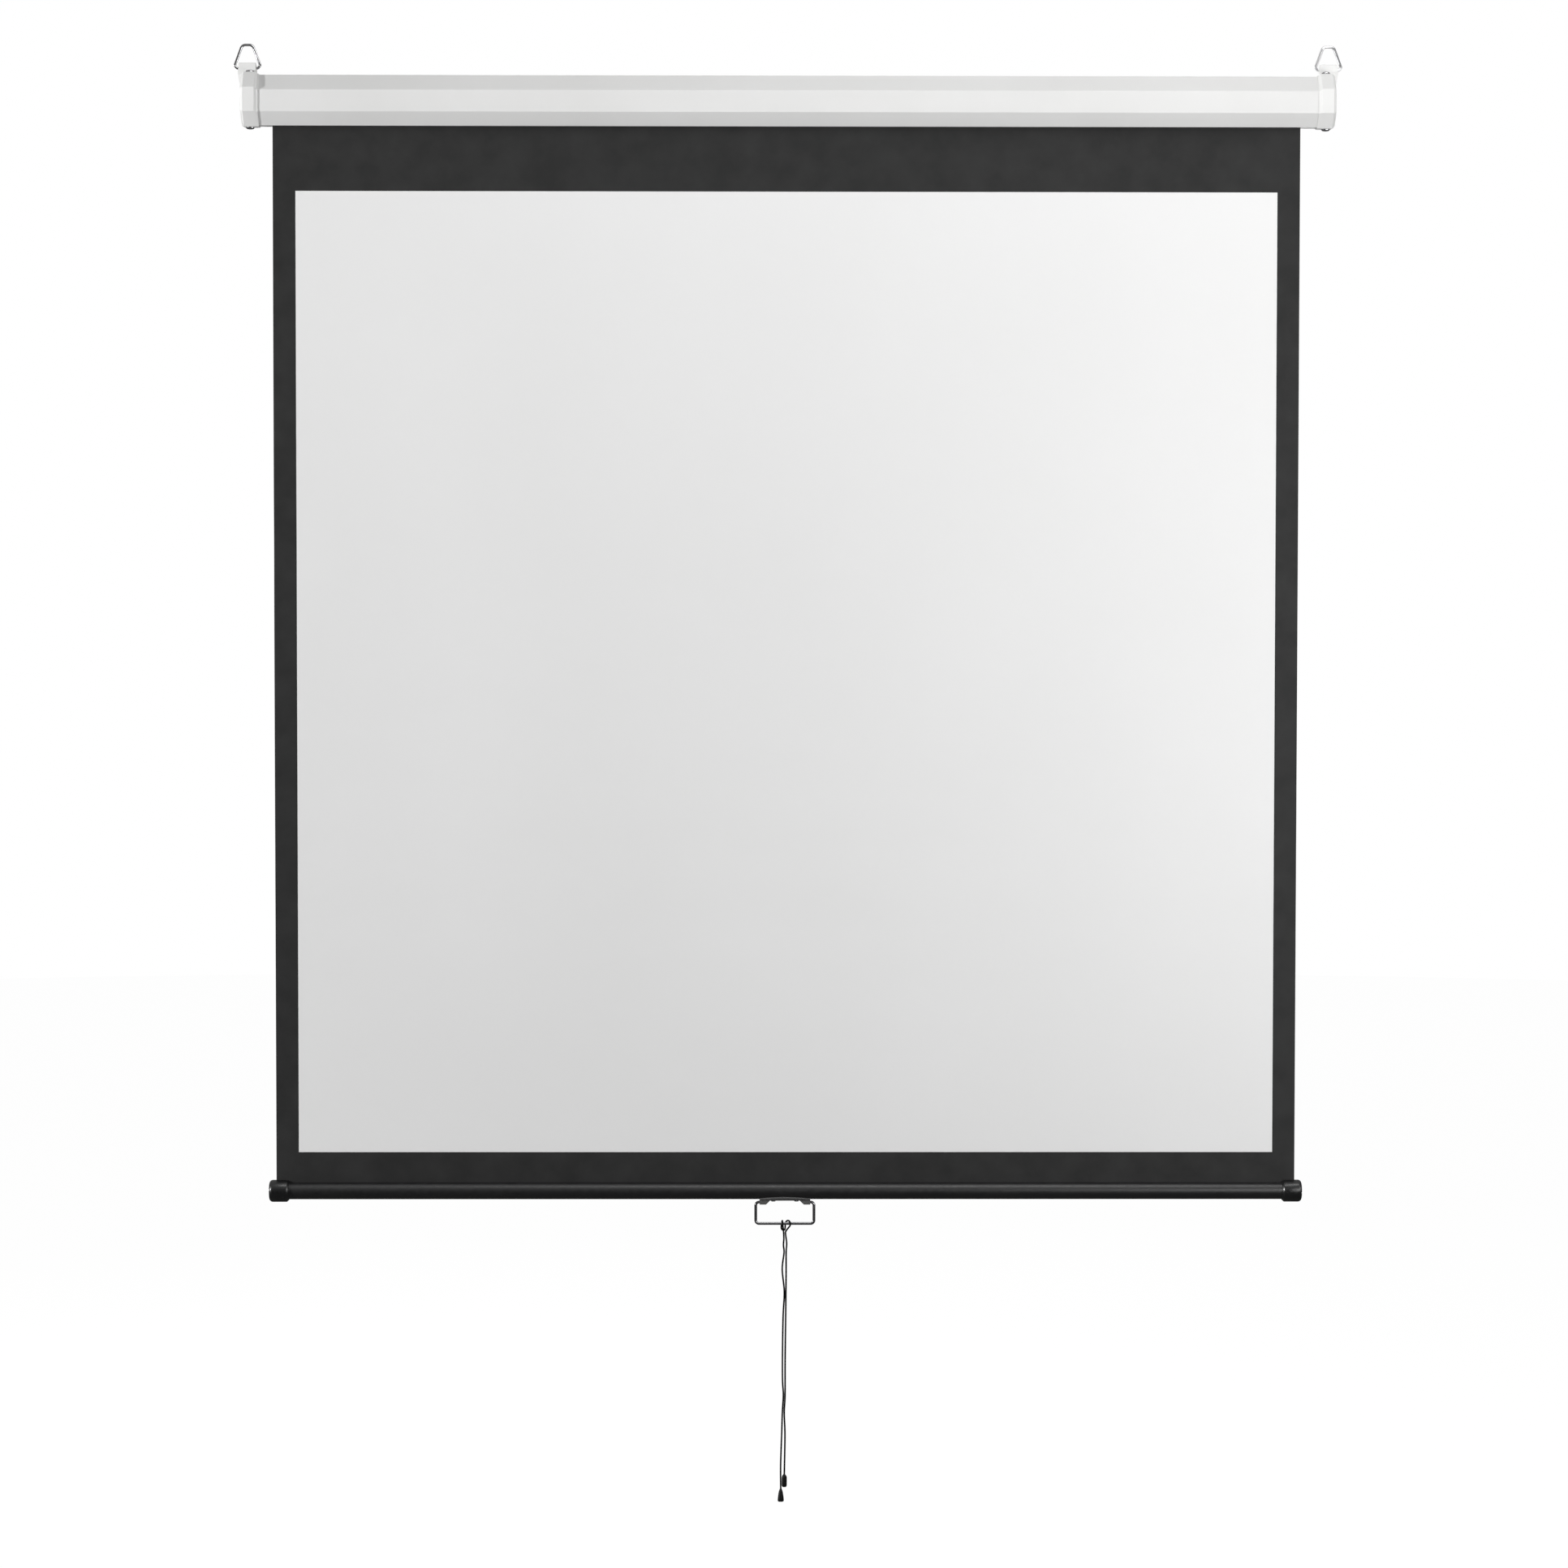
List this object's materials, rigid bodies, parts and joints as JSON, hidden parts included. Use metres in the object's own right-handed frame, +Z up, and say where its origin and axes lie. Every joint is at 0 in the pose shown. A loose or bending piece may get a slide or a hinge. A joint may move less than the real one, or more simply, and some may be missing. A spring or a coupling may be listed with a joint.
{
  "type": "projector screen",
  "caption": "Manual pull-down projector screen with a spring roller in an eight-sided case, hung by two wire rings, with a weight bar, bail handle and pull cord.",
  "frame": {"origin": "midway between the two points where the ceiling hooks bear inside the hanging rings", "axes": "+Z up, +X to the viewer's right along the case, -Y towards the viewer, so the white side of the cloth faces -Y"},
  "size_m": [1.7168, 0.0717, 2.2708],
  "materials": {
    "white_paint": "white powder paint, fine orange peel, satin",
    "white_plastic": "white moulded plastic, fine texture",
    "chrome": "bright chrome plate",
    "dark_chrome": "bright chrome plate with dark reflections",
    "zinc_plate": "zinc plated steel",
    "die_cast": "raw die-cast zinc alloy",
    "spring_steel": "oiled spring steel",
    "nylon": "natural nylon",
    "black_paint": "black paint, semi-gloss",
    "black_plastic": "black moulded plastic, semi-gloss",
    "grey_plastic": "dark grey moulded plastic",
    "screen_cloth": "matt white projection cloth with black borders and black back",
    "backing": "matt black backing of the projection cloth",
    "cord": "braided black cord",
    "toggle": "black toggle, satin"
  },
  "bodies": {
    "case": {"case_shell": "white_paint", "end_cap_left": "white_plastic", "end_cap_right": "white_plastic", "cap_screw_left_top": "chrome", "cap_screw_left_bottom": "chrome", "cap_screw_right_top": "chrome", "cap_screw_right_bottom": "chrome", "axle_bracket_left": "zinc_plate", "axle_bracket_right": "zinc_plate", "idle_bush": "nylon", "spring_spindle": "zinc_plate", "notched_ratchet": "die_cast", "torsion_spring": "spring_steel", "spring_collar": "die_cast"},
    "roller": {"roller_tube": "zinc_plate", "spring_end_plug": "die_cast", "idle_end_plug": "nylon", "idle_pin": "zinc_plate", "wound_screen": "backing", "spring_anchor_plug": "die_cast", "pawl_pin_upper": "zinc_plate", "pawl_pin_lower": "zinc_plate"},
    "upper_pawl": {"pawl_upper": "spring_steel"},
    "lower_pawl": {"pawl_lower": "spring_steel"},
    "bottom_bar": {"screen_fabric": "screen_cloth", "bar_tube": "black_paint", "bar_cap_left": "black_plastic", "bar_cap_right": "black_plastic", "hem_rod": "zinc_plate", "handle_mount": "grey_plastic", "mount_rivet_left": "zinc_plate", "mount_rivet_right": "zinc_plate"},
    "handle": {"handle_bail": "dark_chrome"},
    "pull_cord": {"cord_strand_left": "cord", "cord_strand_right": "cord", "cord_toggle_left": "toggle", "cord_toggle_right": "toggle"},
    "ring_left": {"hanging_ring_left": "chrome"},
    "ring_right": {"hanging_ring_right": "chrome"}
  },
  "joints": [
    {"name": "screen_slide", "type": "slide", "parent": "case", "child": "bottom_bar", "axis": [0, 0, 1], "range_m": [0, 1.6355], "deforming": ["screen_fabric"]},
    {"name": "roller_spin", "type": "hinge", "parent": "case", "child": "roller", "pos_m": [0, 0.0027, -0.0836], "axis": [-1, 0, 0], "range_deg": [0, 5042]},
    {"name": "upper_pawl_hinge", "type": "hinge", "parent": "roller", "child": "upper_pawl", "pos_m": [-0.815, 0.0027, -0.07], "axis": [-1, 0, 0], "range_deg": [0, 18]},
    {"name": "lower_pawl_hinge", "type": "hinge", "parent": "roller", "child": "lower_pawl", "pos_m": [-0.815, 0.0027, -0.0972], "axis": [-1, 0, 0], "range_deg": [0, 18]},
    {"name": "handle_swing", "type": "hinge", "parent": "bottom_bar", "child": "handle", "pos_m": [-0.004, -0.01375, -1.7952], "axis": [1, 0, 0], "range_deg": [-85, 85]},
    {"name": "cord_hang", "type": "hinge", "parent": "handle", "child": "pull_cord", "pos_m": [-0.004, -0.01375, -1.8288], "axis": [1, 0, 0], "range_deg": [-85, 85]},
    {"name": "left_ring_hinge", "type": "hinge", "parent": "case", "child": "ring_left", "pos_m": [-0.837, 0, -0.0338], "axis": [1, 0, 0], "range_deg": [-90, 90]},
    {"name": "right_ring_hinge", "type": "hinge", "parent": "case", "child": "ring_right", "pos_m": [0.837, 0, -0.0338], "axis": [1, 0, 0], "range_deg": [-90, 90]}
  ],
  "couplings": [
    {"joint": "roller_spin", "follows": "screen_slide", "rad_per_m": 53.8},
    {"joint": "cord_hang", "follows": "handle_swing", "ratio": -1}
  ]
}
